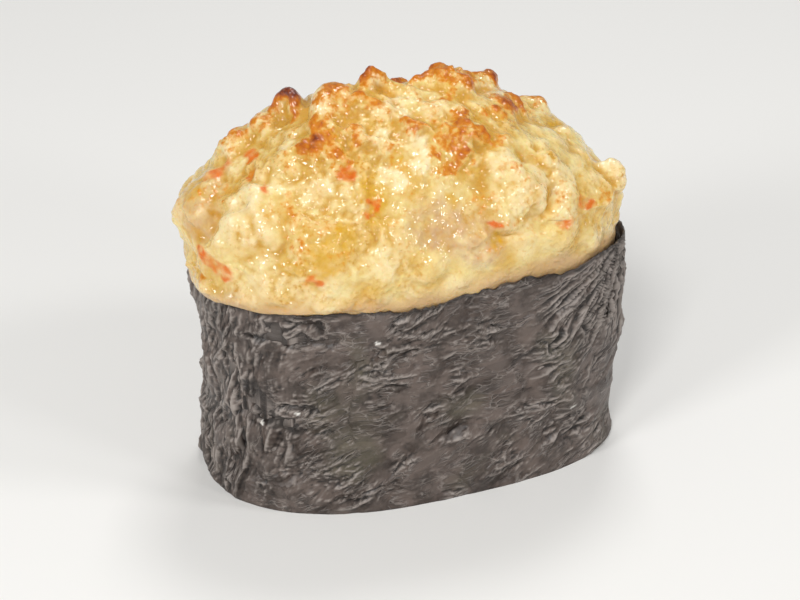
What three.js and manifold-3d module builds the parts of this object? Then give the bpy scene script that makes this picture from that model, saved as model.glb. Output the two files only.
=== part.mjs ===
// Baked gunkan sushi: a bed of pressed rice wrapped in a band of nori, heaped with a creamy
// seafood topping that has been browned under a flame. Millimetres, +Z up. The origin is the
// centre of the band's plan on the board, +X runs along the length and -Y is the front.
import * as THREE from 'three';
import { mergeVertices } from 'three/addons/utils/BufferGeometryUtils.js';
import Module from 'manifold-3d';

const wasm = await Module();
wasm.setup();

// ---------------------------------------------------------------- driving dimensions
const HALF_LENGTH = 27.3; // of the band's oval plan, outside
const HALF_WIDTH = 16.1;
const LEFT_ROUNDNESS = 2.3; // superellipse exponent at the -X end: 2 is an ellipse
const RIGHT_ROUNDNESS = 3.0; // and at the +X end, which is squarer
const STRIP_WIDTH = 30; // height of the band: the nori strip is a seventh of a sheet
const NORI = 0.4; // thickness of the moist sheet
const FLARE = 0.01; // share by which the band widens from the board to its rim
const RICE_HEIGHT = 20; // pressed rice inside the band
const HEAP = 21; // topping above the rim
const GAP = 0.3; // clearance between neighbouring solids

const TURN = 2 * Math.PI;
const radians = THREE.MathUtils.degToRad;
const smoothstep = THREE.MathUtils.smoothstep;

// A soft bump of height 1 around `centre`, falling to 0 at `reach` on either side.
function bump(value, centre, reach) {
  return 1 - smoothstep(Math.abs(value - centre), 0, reach);
}

// The same round the plan: the angle in radians, the centre and the reach in degrees.
function bell(angle, centre, reach) {
  const away = angle - radians(centre);
  return bump(Math.atan2(Math.sin(away), Math.cos(away)), 0, radians(reach));
}

// A repeatable number from 0 to 1 for a seed.
function chance(seed) {
  const spread = Math.sin(seed * 127.1 + 11.7) * 43758.5453;
  return spread - Math.floor(spread);
}

// ---------------------------------------------------------------- the band's plan
// Radius of the oval in a direction: a superellipse whose exponent drifts from end to end.
function planRadius(angle) {
  const across = Math.abs(Math.cos(angle) / HALF_LENGTH);
  const deep = Math.abs(Math.sin(angle) / HALF_WIDTH);
  const power = THREE.MathUtils.lerp(LEFT_ROUNDNESS, RIGHT_ROUNDNESS, smoothstep(Math.cos(angle), -1, 1));
  return (across ** power + deep ** power) ** (-1 / power);
}

// The rim rises along the front to a peak near the right end and dips behind it: centre and
// reach in degrees, height in millimetres.
const RIM_RISE = { at: 300, reach: 55, height: 0.8 };
const RIM_PEAK = { at: -27, reach: 24, height: 0.8 };
const RIM_DIP = { at: 2, reach: 28, height: 1.6 };

function rimHeight(angle) {
  const rise = RIM_RISE.height * bell(angle, RIM_RISE.at, RIM_RISE.reach);
  const peak = RIM_PEAK.height * bell(angle, RIM_PEAK.at, RIM_PEAK.reach);
  const dip = RIM_DIP.height * bell(angle, RIM_DIP.at, RIM_DIP.reach);
  const ripple = 0.25 * Math.sin(5 * angle + 1.1) + 0.15 * Math.sin(11 * angle);
  return STRIP_WIDTH + rise + peak - dip + ripple;
}

// ---------------------------------------------------------------- meshes from rings
// A closed skin over rings of equal length. `ends` is 'loop' where the last ring joins the
// first, as in a hoop, or 'capped' where both ends close on a middle point.
function skin(rings, ends) {
  const around = rings[0].length;
  const positions = rings.flat().flatMap((p) => p.toArray());
  const faces = [];
  const joins = ends === 'loop' ? rings.length : rings.length - 1;
  for (let row = 0; row < joins; row += 1) {
    const here = row * around;
    const next = ((row + 1) % rings.length) * around;
    for (let i = 0; i < around; i += 1) {
      const j = (i + 1) % around;
      faces.push(here + i, here + j, next + j, here + i, next + j, next + i);
    }
  }
  if (ends === 'capped') {
    for (const [row, flip] of [[0, true], [rings.length - 1, false]]) {
      const middle = positions.length / 3;
      const centre = rings[row].reduce((sum, p) => sum.add(p), new THREE.Vector3()).divideScalar(around);
      positions.push(...centre.toArray());
      for (let i = 0; i < around; i += 1) {
        const a = row * around + i;
        const b = row * around + ((i + 1) % around);
        faces.push(...(flip ? [b, a, middle] : [a, b, middle]));
      }
    }
  }
  return meshOf(positions, faces);
}

// A closed skin over a disc that is pulled into shape. Ring number k round its middle has
// WEB_SECTORS times k points, so that the triangles stay the same size from the rim to the
// middle. `pointAt` takes a ring's share of the way out and an angle. A flat fan closes the
// outermost ring.
const WEB_SECTORS = 4;

function web(rings, pointAt) {
  const pointsIn = (ring) => Math.max(1, WEB_SECTORS * ring);
  const firstOf = (ring) => (ring === 0 ? 0 : 1 + (WEB_SECTORS * ring * (ring - 1)) / 2);
  const positions = pointAt(0, 0).toArray();
  const faces = [];
  for (let ring = 1; ring <= rings; ring += 1) {
    const around = pointsIn(ring);
    for (let step = 0; step < around; step += 1) {
      positions.push(...pointAt(ring / rings, (TURN * step) / around).toArray());
      const sector = Math.floor(step / ring);
      const along = step % ring;
      const here = firstOf(ring) + step;
      const after = firstOf(ring) + ((step + 1) % around);
      const inside = firstOf(ring - 1) + ((sector * (ring - 1) + along) % pointsIn(ring - 1));
      const insideAfter = firstOf(ring - 1) + ((sector * (ring - 1) + along + 1) % pointsIn(ring - 1));
      faces.push(here, after, inside);
      if (along < ring - 1) faces.push(after, insideAfter, inside);
    }
  }
  const outermost = anglesAround(pointsIn(rings)).map((angle) => pointAt(1, angle));
  const middle = positions.length / 3;
  const centre = outermost.reduce((sum, p) => sum.add(p), new THREE.Vector3()).divideScalar(pointsIn(rings));
  positions.push(...centre.toArray());
  for (let step = 0; step < pointsIn(rings); step += 1) {
    faces.push(firstOf(rings) + ((step + 1) % pointsIn(rings)), firstOf(rings) + step, middle);
  }
  return meshOf(positions, faces);
}

function meshOf(positions, faces) {
  const geometry = new THREE.BufferGeometry();
  geometry.setAttribute('position', new THREE.Float32BufferAttribute(positions, 3));
  geometry.setIndex(faces);
  return geometry;
}

function toSolid(geometry) {
  const bare = geometry.clone();
  bare.deleteAttribute('normal');
  bare.deleteAttribute('uv');
  const merged = mergeVertices(bare, 1e-4);
  return new wasm.Manifold(new wasm.Mesh({
    numProp: 3,
    vertProperties: new Float32Array(merged.attributes.position.array),
    triVerts: new Uint32Array(merged.index.array),
  }));
}

function toGeometry(solid) {
  const mesh = solid.getMesh();
  const geometry = new THREE.BufferGeometry();
  geometry.setAttribute('position', new THREE.Float32BufferAttribute(mesh.vertProperties, 3));
  geometry.setIndex(Array.from(mesh.triVerts));
  geometry.computeVertexNormals();
  return geometry;
}

function anglesAround(count) {
  return Array.from({ length: count }, (_, i) => (TURN * i) / count);
}

// ---------------------------------------------------------------- nori band
const BAND_COLUMNS = 96;
const BAND_ROWS = 9;
const FLAP_EDGE = 62; // degrees: where the strip's outer end stops, on the back
const FLAP_LENGTH = 70; // degrees of the band that the overlapping end covers

// How far the crumpled sheet stands proud of the smooth oval.
function crumple(angle, height) {
  const x = HALF_LENGTH * Math.cos(angle);
  const y = HALF_LENGTH * Math.sin(angle);
  const folds = 0.15 * Math.sin(0.5 * x + 0.35 * y + 1.6 * Math.sin(0.3 * height))
    + 0.13 * Math.sin(0.75 * height + 2.2 * Math.sin(0.22 * x - 0.3 * y)) - 0.1;
  const pinched = bell(angle, 180, 34) * 0.22 * (Math.sin(1.05 * y + 0.12 * height) - 1);
  const corner = 0.35 * bell(angle, 208, 9) - 0.5 * bell(angle, 201, 7) * bump(height, 14, 5);
  const shoulder = bell(angle, 0, 40) * 0.35 * (2 * smoothstep(height, 11, 14) - 1);
  const waist = -0.8 * bell(angle, 180, 40) * bump(height, 14, 12);
  return folds + pinched + corner + shoulder + waist;
}

// The end of the strip lies over its start: one more thickness, with a clean step where the
// outer end stops and a slow rise where the inner end starts underneath.
function overlap(angle) {
  const past = THREE.MathUtils.euclideanModulo(THREE.MathUtils.radToDeg(angle) - FLAP_EDGE, 360);
  return NORI * (1 - smoothstep(past, 0.6 * FLAP_LENGTH, FLAP_LENGTH));
}

// A point of the sheet: `outward` is measured from its inner face.
function noriPoint(angle, height, outward) {
  const fade = smoothstep(height, 0, 2) * (1 - 0.6 * smoothstep(height, STRIP_WIDTH - 6, STRIP_WIDTH));
  const radius = planRadius(angle) * (1 + (FLARE * height) / STRIP_WIDTH) - NORI
    + crumple(angle, height) * fade + outward;
  return new THREE.Vector3(radius * Math.cos(angle), radius * Math.sin(angle), height);
}

// A hoop of sheet between an inner and an outer face, from one height to `over` above the rim.
function hoop(inward, outward, bottom, over) {
  const rows = Array.from({ length: BAND_ROWS }, (_, i) => i / (BAND_ROWS - 1));
  const ring = (share, extra) => anglesAround(BAND_COLUMNS).map((angle) => {
    const height = THREE.MathUtils.lerp(bottom, rimHeight(angle) + over, share);
    return noriPoint(angle, height, extra(angle));
  });
  const outer = rows.map((share) => ring(share, (angle) => NORI + overlap(angle) + outward));
  const inner = rows.toReversed().map((share) => ring(share, () => -inward));
  return skin([...outer, ...inner], 'loop');
}

function noriBand() {
  return hoop(0, 0, 0, 0);
}

// ---------------------------------------------------------------- rice
const GRAIN = { length: 5.4, width: 2.6, thickness: 1.5 };
const GRAIN_PITCH = { along: 5.8, across: 3.1 };
const RICE_COLUMNS = BAND_COLUMNS / 2;
const RICE_GAP = 0.5; // between the pressed rice and the sheet's inner face
const UNDERSIDE = 0.6; // the bed between the grains stays this far above the board

// A ring of the bed, `inset` further in than where the rice meets the sheet.
function riceRing(height, inset) {
  return anglesAround(RICE_COLUMNS).map((angle) => noriPoint(angle, height, -RICE_GAP - inset));
}

// One grain: an ellipsoid sunk a little into the board, which then cuts its underside flat.
function grain(x, y, turn) {
  const shape = new THREE.SphereGeometry(0.5, 8, 4);
  shape.rotateZ(Math.PI / 2);
  shape.scale(GRAIN.length, GRAIN.width, GRAIN.thickness * 2);
  shape.rotateZ(turn);
  shape.translate(x, y, GRAIN.thickness / 2);
  return toSolid(shape);
}

// The bed, and under it staggered rows of grains, each turned and moved a little by chance.
// The grain at the origin stays put: its flat underside is what the sushi is placed by.
function rice() {
  const rings = [riceRing(UNDERSIDE, 0.9), riceRing(1.6, 0.1), riceRing(RICE_HEIGHT / 2, 0),
    riceRing(RICE_HEIGHT - 2, 0), riceRing(RICE_HEIGHT, 1.6)];
  let bed = toSolid(skin(rings, 'capped'));
  let seed = 0;
  const rows = Math.floor(HALF_WIDTH / GRAIN_PITCH.across);
  const columns = Math.floor(HALF_LENGTH / GRAIN_PITCH.along);
  for (let row = -rows; row <= rows; row += 1) {
    for (let column = -columns; column <= columns; column += 1) {
      seed += 1;
      const drift = row === 0 && column === 0 ? 0 : 1.3;
      const stagger = (Math.abs(row) % 2) * GRAIN_PITCH.along * 0.5;
      const x = column * GRAIN_PITCH.along + stagger + drift * (chance(seed) - 0.5);
      const y = row * GRAIN_PITCH.across + 0.6 * drift * (chance(seed + 500) - 0.5);
      const room = planRadius(Math.atan2(y, x)) - NORI - RICE_GAP - 0.55 * GRAIN.length;
      if (Math.hypot(x, y) < room) {
        bed = bed.add(grain(x, y, radians(70) * (chance(seed + 900) - 0.5)));
      }
    }
  }
  const board = new THREE.BoxGeometry(4 * HALF_LENGTH, 4 * HALF_WIDTH, 8).translate(0, 0, -4);
  return toGeometry(bed.subtract(toSolid(board)));
}

// ---------------------------------------------------------------- topping
const TOPPING_RINGS = 42;
const CRUST_SETTLE = 0.7; // the mound between the lumps lies this far below its profile
const LEAN = -0.1; // the heap loses height from left to right, per mm of length
const SKEW = -0.1; // and its crest runs slightly to the front on the right
const WAIST = 0.065; // share by which its right side is drawn in, most at WAIST_RISE
const WAIST_RISE = 0.27;

// Profile from the plug inside the band, over the bulge above the rim, to the summit:
// share of the plan, and share of the heap's height above the rim.
const PROFILE = new THREE.SplineCurve([
  [0.9, -0.45], [0.93, -0.24], [0.985, -0.03], [1.04, 0.14], [1.05, 0.29], [0.95, 0.455],
  [0.79, 0.61], [0.61, 0.76], [0.41, 0.885], [0.21, 0.96], [0, 0.985],
].map(([share, rise]) => new THREE.Vector2(share, rise)));

// Where the soft topping slumps over the rim and hangs outside the band: centre and reach
// in degrees.
const SLUMPS = [[203, 46], [75, 30], [118, 20]];
const LIP = 1.2; // how far the slumped lip reaches outwards

// The crags that give the crust its outline, and the largest pieces of seafood under it:
// direction in degrees, place on the profile, radius and height in millimetres, and
// sharpness, which is below 1 for a blocky crag and above 1 for a pointed one.
const CRAGS = [
  ['left peak', 165, 0.74, 2.3, 3.6, 1.5],
  ['left slope', 165, 0.668, 4.2, 1.7, 0.8],
  ['left hump', 170, 0.595, 3.4, 2.3, 0.8],
  ['left knuckle', 173, 0.545, 3.2, 0.6, 0.8],
  ['left bulge', 179.5, 0.445, 4.8, 2.0, 0.8],
  ['left ridge', 174.5, 0.833, 3.6, 2.6, 0.8],
  ['middle ridge', 182, 0.881, 3.4, 2.0, 0.8],
  ['top nub', 155, 0.92, 2.0, 3.4, 0.5],
  ['pale shoulder', 131, 0.956, 3.4, 1.5, 0.8],
  ['small spike', 47.5, 0.935, 1.5, 3.2, 1.3],
  ['summit', 26, 0.902, 3.4, 3.4, 0.8],
  ['summit top', 33, 0.806, 3.0, 3.4, 0.8],
  ['second knob', 26, 0.761, 2.6, 3.2, 0.7],
  ['browned mass', 6.5, 0.758, 3.6, 1.7, 0.8],
  ['right crag', 16.5, 0.644, 1.8, 2.3, 1.1],
  ['right shoulder', 359.5, 0.59, 3.0, 0.9, 1.0],
  ['right tip', 346, 0.49, 2.7, 2.4, 1.8],
  ['browned knob', 196.5, 0.764, 2.6, 1.9, 0.9],
  ['browned patch', 203, 0.722, 2.6, 0.9, 0.9],
  ['browned ridge', 193.5, 0.812, 2.6, 1.5, 0.9],
  ['shiny lump', 185, 0.809, 2.2, 1.7, 0.7],
  ['rimmed lump', 221, 0.779, 3.0, 1.7, 0.6],
  ['pale crag', 259.5, 0.821, 2.8, 1.9, 0.8],
  ['front knob', 304, 0.776, 3.6, 2.4, 0.9],
  ["front knob's foot", 297, 0.737, 2.8, 1.6, 0.9],
  ['front slab', 309.5, 0.602, 5.2, 1.9, 0.4],
  ['front swell', 220, 0.45, 6.0, 1.1, 0.9],
  ['left mass', 198.5, 0.512, 5.0, 1.2, 0.7],
  ['back knob', 84, 0.72, 3.6, 2.0, 0.9],
  ['back slab', 62, 0.5, 4.6, 1.6, 0.6],
];
const NARROWEST = 2.9;
const SCATTERED_LUMPS = 110;
const SCATTERED_SHARPNESS = 0.9;
const GOLDEN_ANGLE = Math.PI * (3 - Math.sqrt(5));

// The smooth mound under the crags. It bulges over the rim most at the left end.
function mound(angle, place) {
  const { x: share, y: rise } = PROFILE.getPoint(place);
  const leftward = 0.5 * (1 - Math.cos(angle));
  const bulged = share > 1 ? 1 + (share - 1) * (0.15 + 1.1 * leftward) : share;
  const spread = bulged * (1 - WAIST * (1 - leftward) ** 2 * bump(rise, WAIST_RISE, 0.45));
  const radius = planRadius(angle) * spread;
  const x = radius * Math.cos(angle);
  const y = radius * Math.sin(angle) + SKEW * x * Math.max(rise, 0);
  return new THREE.Vector3(x, y, STRIP_WIDTH + rise * (HEAP + LEAN * x * (rise > 0 ? 1 : 0)));
}

function moundNormal(angle, place) {
  const step = 0.004;
  const low = THREE.MathUtils.clamp(place, step, 1 - 2 * step);
  const along = mound(angle, low + step).sub(mound(angle, low - step));
  const around = mound(angle + step, low).sub(mound(angle - step, low));
  return around.cross(along).normalize();
}

// Smaller lumps of chopped seafood under the sauce, spread by the golden angle.
function scatteredLumps() {
  return Array.from({ length: SCATTERED_LUMPS }, (_, i) => ({
    at: THREE.MathUtils.radToDeg(i * GOLDEN_ANGLE),
    place: 0.3 + 0.66 * ((i + 0.5) / SCATTERED_LUMPS),
    radius: 1.9 + 1.9 * chance(i + 1),
    height: 0.4 + 0.9 * chance(i + 301),
    sharpness: SCATTERED_SHARPNESS,
  }));
}

// The named crags. One narrower than NARROWEST would fall between the mesh's points.
function namedCrags() {
  return CRAGS.map(([, at, place, radius, height, sharpness]) => (
    { at, place, radius: Math.max(radius, NARROWEST), height, sharpness }
  ));
}

// The lumps' outlines are uneven: places are shifted by slow waves before they are compared.
function shifted(p) {
  return new THREE.Vector3(
    p.x + 0.7 * Math.sin(0.8 * p.y + 0.5 * p.z),
    p.y + 0.7 * Math.sin(0.9 * p.x + 0.6 * p.z + 2),
    p.z + 0.5 * Math.sin(0.7 * p.x - 0.8 * p.y + 4),
  );
}

const LUMPS = [...namedCrags(), ...scatteredLumps()].map(({ at, place, radius, height, sharpness }) => ({
  centre: shifted(mound(radians(at), place)), radius, height, sharpness,
}));

// Height of the tallest lump over a point, each a dome that falls to nothing at its radius.
function lumpHeight(p) {
  const here = shifted(p);
  const heights = LUMPS.map(({ centre, radius, height, sharpness }) => {
    const away = here.distanceTo(centre) / radius;
    return away < 1 ? height * (1 - away * away) ** sharpness : 0;
  });
  return Math.max(...heights);
}

// The slumped lip: outwards from its scalloped lower edge, which hangs lowest at the left end,
// and back to the mound 5 mm above the rim.
function slump(angle, height) {
  const reach = Math.max(...SLUMPS.map(([centre, width]) => Math.min(1, 1.7 * bell(angle, centre, width))));
  const drawnUp = 0.6 * bell(angle, 224, 14) - 0.9 * bell(angle, 184, 22);
  const edge = STRIP_WIDTH + 0.4 + drawnUp - 0.2 * Math.sin(23 * angle);
  const fade = 1 - smoothstep(height, STRIP_WIDTH + 1, STRIP_WIDTH + 5);
  return LIP * reach * smoothstep(height, edge - 0.3, edge + 0.3) * fade;
}

// Lumps begin at the rim. The mound between them settles, more and more up to 9 mm above it.
function toppingPoint(angle, place) {
  const p = mound(angle, place);
  const outward = new THREE.Vector3(Math.cos(angle), Math.sin(angle), 0);
  const overRim = p.z - rimHeight(angle);
  const above = smoothstep(overRim, -0.4, 2) * smoothstep(overRim, -0.3, 0.5);
  const settle = CRUST_SETTLE * smoothstep(p.z, STRIP_WIDTH + 1, STRIP_WIDTH + 9);
  return p
    .addScaledVector(outward, slump(angle, p.z))
    .addScaledVector(moundNormal(angle, place), above * (lumpHeight(p) - settle));
}

function topping() {
  const heap = toSolid(web(TOPPING_RINGS, (share, angle) => toppingPoint(angle, 1 - share)));
  const sheetRoom = toSolid(hoop(GAP, GAP, STRIP_WIDTH / 3, GAP));
  return toGeometry(heap.subtract(sheetRoom));
}

// ---------------------------------------------------------------- the sushi
function piece(name, geometry, color, roughness) {
  const material = new THREE.MeshStandardMaterial({ color, roughness, metalness: 0 });
  const mesh = new THREE.Mesh(geometry, material);
  mesh.name = name;
  return mesh;
}

const sushi = new THREE.Group();
sushi.add(piece('nori_band', noriBand(), 0x3a3735, 0.6));
sushi.add(piece('rice_bed', rice(), 0xefeadd, 0.5));
sushi.add(piece('baked_topping', topping(), 0xe3c88c, 0.35));

export default sushi;
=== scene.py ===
# %% [markdown]
# # A baked gunkan sushi
# Gunkan means warship: a small oval bed of pressed rice stands in an upright band of nori, and the
# band's rim holds a topping that would slide off an ordinary sushi. This one is heaped with chopped
# seafood in a creamy sauce and browned under a flame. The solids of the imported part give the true
# size and place of its three pieces. In these cells each solid is replaced by a finer surface,
# worked out with numpy as a function of two parameters, and gets a material made for it.

# %% The frame
import itertools
import math

import bpy
import numpy as np
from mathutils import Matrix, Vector


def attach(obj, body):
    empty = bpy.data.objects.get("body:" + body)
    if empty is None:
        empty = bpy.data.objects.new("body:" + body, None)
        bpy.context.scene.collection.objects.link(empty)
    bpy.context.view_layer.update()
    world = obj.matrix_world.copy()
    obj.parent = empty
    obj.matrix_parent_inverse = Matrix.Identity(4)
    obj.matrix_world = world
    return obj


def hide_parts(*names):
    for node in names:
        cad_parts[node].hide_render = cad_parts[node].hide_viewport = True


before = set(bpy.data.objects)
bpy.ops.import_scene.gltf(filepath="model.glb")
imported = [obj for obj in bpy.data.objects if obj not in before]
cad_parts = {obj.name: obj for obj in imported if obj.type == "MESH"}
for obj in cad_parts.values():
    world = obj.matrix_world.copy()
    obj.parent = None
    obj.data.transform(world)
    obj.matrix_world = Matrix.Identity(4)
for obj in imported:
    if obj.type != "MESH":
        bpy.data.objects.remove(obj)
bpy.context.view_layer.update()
print("Nodes:", sorted(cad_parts))

# %% [markdown]
# ## Driving dimensions
# All shapes are worked out in millimetres and only turned to metres when a mesh is made. The origin
# is the middle of the band's plan on the board, the length runs along X and the front is -Y. Many of
# the shapes below need a soft step or a soft bump, so those two come first.

# %% Driving dimensions
MM = 0.001
TURN = 2 * math.pi
GOLDEN_ANGLE = math.pi * (3 - math.sqrt(5))
HALF_LENGTH = 27.3
HALF_WIDTH = 16.1
LEFT_ROUNDNESS = 2.3
RIGHT_ROUNDNESS = 3.0
STRIP_WIDTH = 30.0
STRIP_LENGTH = 190
NORI = 0.4
FLARE = 0.01
RICE_HEIGHT = 20.0
HEAP = 21.0
print(f"About {2 * HALF_LENGTH:.0f} mm long and {STRIP_WIDTH + HEAP:.0f} mm high without the crags")


# %% Soft steps and bumps
def smooth(value, start=0.0, end=1.0):
    """Rises from 0 at `start` to 1 at `end` with a level beginning and end: 3 t squared less 2 t cubed."""
    t = np.clip((value - start) / (end - start), 0, 1)
    return t * t * (3 - 2 * t)


def bump(value, centre, reach):
    """A soft bump of height 1 around `centre` that falls to 0 at `reach` on either side."""
    return 1 - smooth(np.abs(value - centre), 0, reach)


def bell(angle, centre, reach):
    """The same round the plan: the angle in radians, centre and reach in degrees."""
    away = angle - math.radians(centre)
    return bump(np.arctan2(np.sin(away), np.cos(away)), 0, math.radians(reach))


print("A quarter of the way, a soft step has risen to", smooth(0.25))

# %% [markdown]
# ## The band's plan and rim
# The plan is a superellipse: an ellipse whose exponent is raised from 2, so that its ends grow
# squarer. The left end is nearly an ellipse and the right one is squarer, so the exponent drifts
# between them. Moist nori doesn't keep a straight edge, so the rim has long waves: each row gives a
# wave's centre and reach in degrees and its height in millimetres.

# %% The band's plan and rim
RIM_WAVES = [
    ("rise along the front", 300, 55, 0.8),
    ("peak near the right end", -27, 24, 0.8),
    ("dip behind it", 2, 28, -1.6),
]


def plan_radius(angle):
    """Radius of the superellipse: |cos/a|^n + |sin/b|^n, to the power of -1/n, with n drifting."""
    power = LEFT_ROUNDNESS + (RIGHT_ROUNDNESS - LEFT_ROUNDNESS) * smooth(np.cos(angle), -1, 1)
    across = np.abs(np.cos(angle) / HALF_LENGTH) ** power
    deep = np.abs(np.sin(angle) / HALF_WIDTH) ** power
    return (across + deep) ** (-1 / power)


def rim_height(angle):
    """The strip's width, plus a bell for each of the long waves and two small sine ripples."""
    waves = sum(height * bell(angle, at, reach) for _, at, reach, height in RIM_WAVES)
    ripple = 0.25 * np.sin(5 * angle + 1.1) + 0.15 * np.sin(11 * angle)
    return STRIP_WIDTH + waves + ripple


turn_once = np.linspace(0, TURN, 721)
outline = plan_radius(turn_once)
steps = np.hypot(np.diff(outline * np.cos(turn_once)), np.diff(outline * np.sin(turn_once)))
walked = np.concatenate([[0], np.cumsum(steps)])
print(f"The band is {walked[-1]:.0f} mm round: the strip overlaps by {STRIP_LENGTH - walked[-1]:.0f} mm")

# %% [markdown]
# ## Noise for whole arrays
# Food is uneven at every size, and the unevenness has to be the same at each run. Instead of a random
# generator, a hash gives each cell of a lattice its own repeatable number. Three patterns are built
# on it: swells, which is smooth value noise, for slow changes; clumps, which is cellular noise, for
# lumps that press against each other; and facets, flat triangles between random heights, for a
# crumpled sheet. Each takes an array of points and returns an array, with no loop over the points.


# %% Swells
def hashed(cells, seed):
    """A repeatable number from 0 to 1 for each cell (i, j, k): multiplied, mixed and folded twice."""
    i, j, k = np.moveaxis(cells.astype(np.int64), -1, 0)
    mixed = ((i * 73856093) ^ (j * 19349663) ^ (k * 83492791) ^ (seed * 2654435761)) & 0xFFFFFFFF
    for _ in range(2):
        mixed = ((mixed ^ (mixed >> 16)) * 0x45D9F3B) & 0xFFFFFFFF
    return (mixed ^ (mixed >> 16)) / 0xFFFFFFFF


def swells(points, size, seed, octaves=1):
    """Value noise from -1 to 1: random heights at the corners of cells `size` mm wide, blended
    smoothly between them. Each further octave adds half as much at half the size."""
    if octaves > 1:
        finer = swells(points, size / 2, seed + 7, octaves - 1)
        return (swells(points, size, seed) + 0.5 * finer) / 1.5
    scaled = points / size
    low = np.floor(scaled)
    share = smooth(scaled - low)
    total = 0
    for corner in itertools.product((0, 1), repeat=3):
        weight = np.prod(np.where(corner, share, 1 - share), axis=-1)
        total = total + weight * hashed(low + corner, seed)
    return 2 * total - 1


def warped(points, size, reach, seed):
    """The points moved about by up to `reach` mm, by three independent swells."""
    moves = [swells(points, size, seed + axis) for axis in range(3)]
    return points + reach * np.stack(moves, axis=-1)


print("A swell at the origin:", swells(np.zeros((1, 3)), 2.0, 1))


# %% Clumps
def clumps(points, size, seed, softness=0.06):
    """Cellular noise: each cell holds one lump at a random place, a dome of its own height. Returns
    the soft maximum of the 27 domes about a point, less their usual height, and the own random
    number of the lump that stands there. `softness` rounds the valleys between the lumps."""
    scaled = points / size
    home = np.floor(scaled)
    total, owners = 0, 0
    for offset in itertools.product((-1, 0, 1), repeat=3):
        cell = home + offset
        place = cell + np.stack([hashed(cell, seed + axis) for axis in range(3)], axis=-1)
        own = hashed(cell, seed + 3)
        dome = (0.35 + 0.65 * own) * (1 - np.sum((place - scaled) ** 2, axis=-1))
        weight = np.exp(dome / softness)
        total = total + weight
        owners = owners + weight * own
    return softness * np.log(total) - 0.55, owners / total


print("A clump at the origin:", clumps(np.zeros((1, 3)), 2.0, 1)[0])

# %% Facets
SKEW_IN = (math.sqrt(3) - 1) / 2


def facets(u, v, seed, octaves=3):
    """Crumpled paper: a lattice of triangles with a random height at each corner and flat between
    them, so that every edge is a sharp crease. The lattice is a square one, skewed: in each cell the
    height is the mean of three corners, weighted by how near they are. Each further octave is turned,
    half as large and half as deep. The result is about -1 to 1."""
    total = 0
    for octave in range(octaves):
        c, s = math.cos(octave), math.sin(octave)
        x, y = (u * c - v * s) * 2**octave, (u * s + v * c) * 2**octave
        skewed = np.stack([x, y, 0 * x], axis=-1) + (SKEW_IN * (x + y))[:, None] * [1, 1, 0]
        cell = np.floor(skewed)
        a, b = (skewed - cell)[:, :2].T
        beside = np.where((a > b)[:, None], [1, 0, 0], [0, 1, 0])
        height = (1 - np.maximum(a, b)) * hashed(cell, seed + octave)
        height += np.abs(a - b) * hashed(cell + beside, seed + octave)
        height += np.minimum(a, b) * hashed(cell + [1, 1, 0], seed + octave)
        total = total + (2 * height - 1) / 2**octave
    return total


print("A facet's height at the origin:", facets(np.zeros(1), np.zeros(1), 1))

# %% [markdown]
# ## Grids and meshes
# Two grids carry all the surfaces. A hoop is an ordinary grid that closes in both directions, as the
# band does. A web is a disc whose ring number k has 4 k points, so that its triangles stay the same
# size from the rim to the middle, where an ordinary grid would pinch.

# %% Hoops and webs
WEB_SECTORS = 4


def hoop_faces(rows, columns):
    """Quads between neighbouring rows and columns, with the last of each joined to the first."""
    row, column = np.mgrid[0:rows, 0:columns]
    up = (row + 1) % rows
    right = (column + 1) % columns
    corners = [row * columns + column, row * columns + right, up * columns + right, up * columns + column]
    return np.stack(corners, axis=-1).reshape(-1, 4)


def web(rings):
    """A disc of triangles. Returns each point's ring and angle, and the faces, which turn left
    when seen from above. Point 0 is the middle."""
    ring = np.repeat(np.arange(1, rings + 1), WEB_SECTORS * np.arange(1, rings + 1))
    first = 1 + WEB_SECTORS * ring * (ring - 1) // 2
    step = np.arange(1, len(ring) + 1) - first
    angle = TURN * step / (WEB_SECTORS * ring)
    sector, along = np.divmod(step, ring)
    inner_first = np.where(ring > 1, first - WEB_SECTORS * (ring - 1), 0)
    inner_count = np.maximum(WEB_SECTORS * (ring - 1), 1)
    here = first + step
    after = first + (step + 1) % (WEB_SECTORS * ring)
    inside = inner_first + (sector * (ring - 1) + along) % inner_count
    inside_after = inner_first + (sector * (ring - 1) + along + 1) % inner_count
    outer = np.stack([here, after, inside], axis=-1)
    inner = np.stack([after, inside_after, inside], axis=-1)[along < ring - 1]
    return np.concatenate([[0], ring]), np.concatenate([[0.0], angle]), np.concatenate([outer, inner])


def fan_over(first, count, tip):
    """Triangles that close a ring of `count` points, from number `first` on, to the point `tip`."""
    edge = first + np.arange(count)
    return np.stack([edge, np.roll(edge, -1), np.full(count, tip)], axis=-1)


print("A web of 3 rings has", len(web(3)[2]), "triangles")


# %% From arrays to a piece
def normals_of(points, faces):
    """Unit normals at the points: the sum of the faces' cross products around each of them."""
    a, b, c = (points[faces[:, corner]] for corner in range(3))
    face_normal = np.cross(b - a, c - a)
    total = np.stack([
        sum(np.bincount(faces[:, corner], face_normal[:, axis], len(points)) for corner in range(3))
        for axis in range(3)
    ], axis=-1)
    return total / np.maximum(np.linalg.norm(total, axis=1, keepdims=True), 1e-12)


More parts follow.
